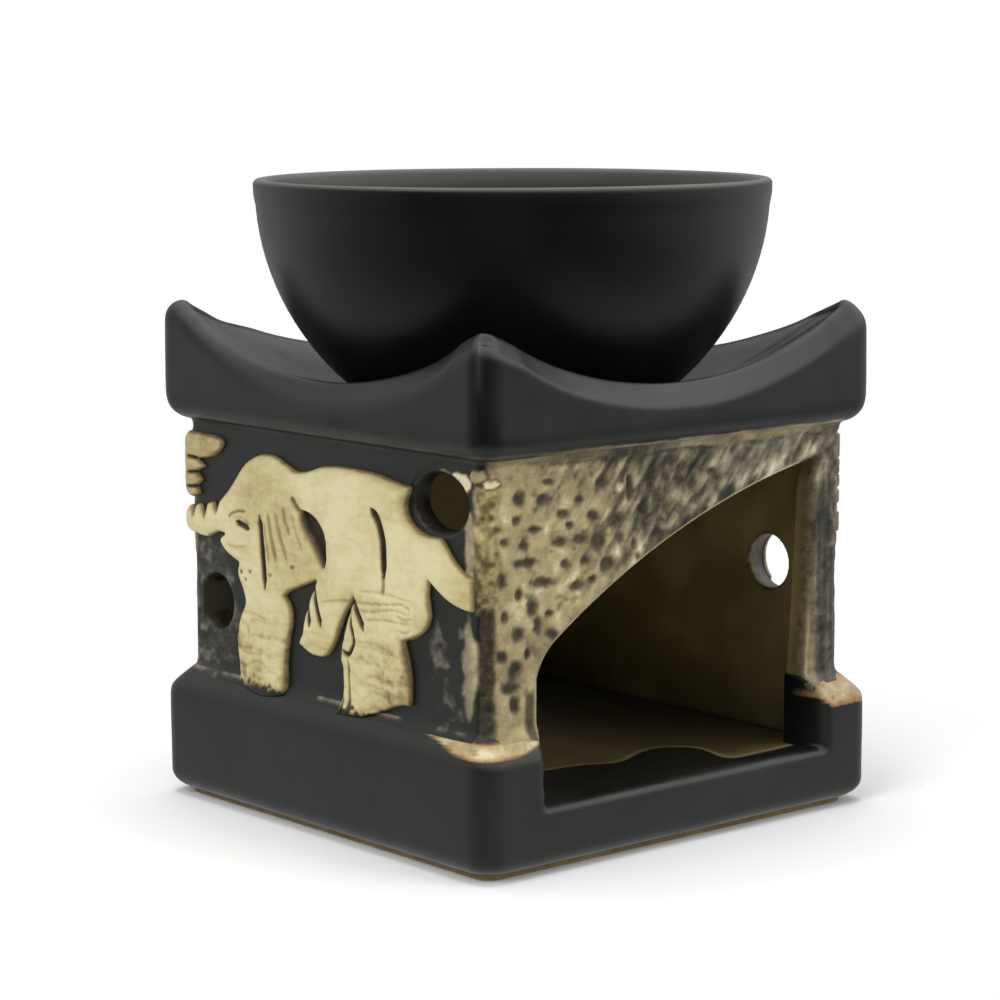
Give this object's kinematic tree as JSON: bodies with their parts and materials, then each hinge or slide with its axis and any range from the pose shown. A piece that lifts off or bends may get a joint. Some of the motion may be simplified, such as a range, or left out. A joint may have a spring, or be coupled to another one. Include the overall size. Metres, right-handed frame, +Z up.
{
  "type": "essential oil burner",
  "caption": "Square black glazed pottery oil burner with carved elephant walls, an arched tealight doorway, an up-swept roof and a loose round bowl over the flame.",
  "frame": {"origin": "centre of the underside, on the surface that the burner stands on", "axes": "+Z up through the bowl, the tealight doorway faces -Y, +X to the right of someone facing the doorway"},
  "size_m": [0.1002, 0.1002, 0.1222],
  "materials": {
    "black_glaze": "satin charcoal black glaze, faintly mottled",
    "bare_clay": "matt unglazed fired clay",
    "hearth_clay": "thin dark brown glaze over clay, half matt",
    "spotted_glaze": "cream glaze with dark brown pits, smoky towards the right",
    "ivory_glaze": "ivory satin glaze, browner in the carved lines",
    "bowl_glaze": "satin black glaze",
    "cup_aluminium": "drawn thin sheet",
    "wax": "white candle wax, half see-through",
    "wick_cotton": "braided waxed cotton",
    "tab_steel": "tinned steel"
  },
  "bodies": {
    "burner": {"base_plinth": "black_glaze", "foot_rim": "bare_clay", "hearth_floor": "hearth_clay", "front_wall": "spotted_glaze", "left_wall": "black_glaze", "right_wall": "black_glaze", "rear_wall": "black_glaze", "left_elephant": "ivory_glaze", "right_elephant": "ivory_glaze", "rear_elephant": "ivory_glaze", "left_branch": "ivory_glaze", "right_branch": "ivory_glaze", "rear_branch": "ivory_glaze", "roof": "black_glaze"},
    "bowl": {"oil_bowl": "bowl_glaze"},
    "tealight": {"tealight_cup": "cup_aluminium", "tealight_wax": "wax", "tealight_wick": "wick_cotton", "wick_tab": "tab_steel"}
  },
  "joints": [
    {"name": "bowl_lift", "type": "slide", "parent": "burner", "child": "bowl", "axis": [0, 0, 1], "range_m": [0, 0.06]},
    {"name": "tealight_slide", "type": "slide", "parent": "burner", "child": "tealight", "axis": [0, -1, 0], "range_m": [0, 0.09]}
  ]
}
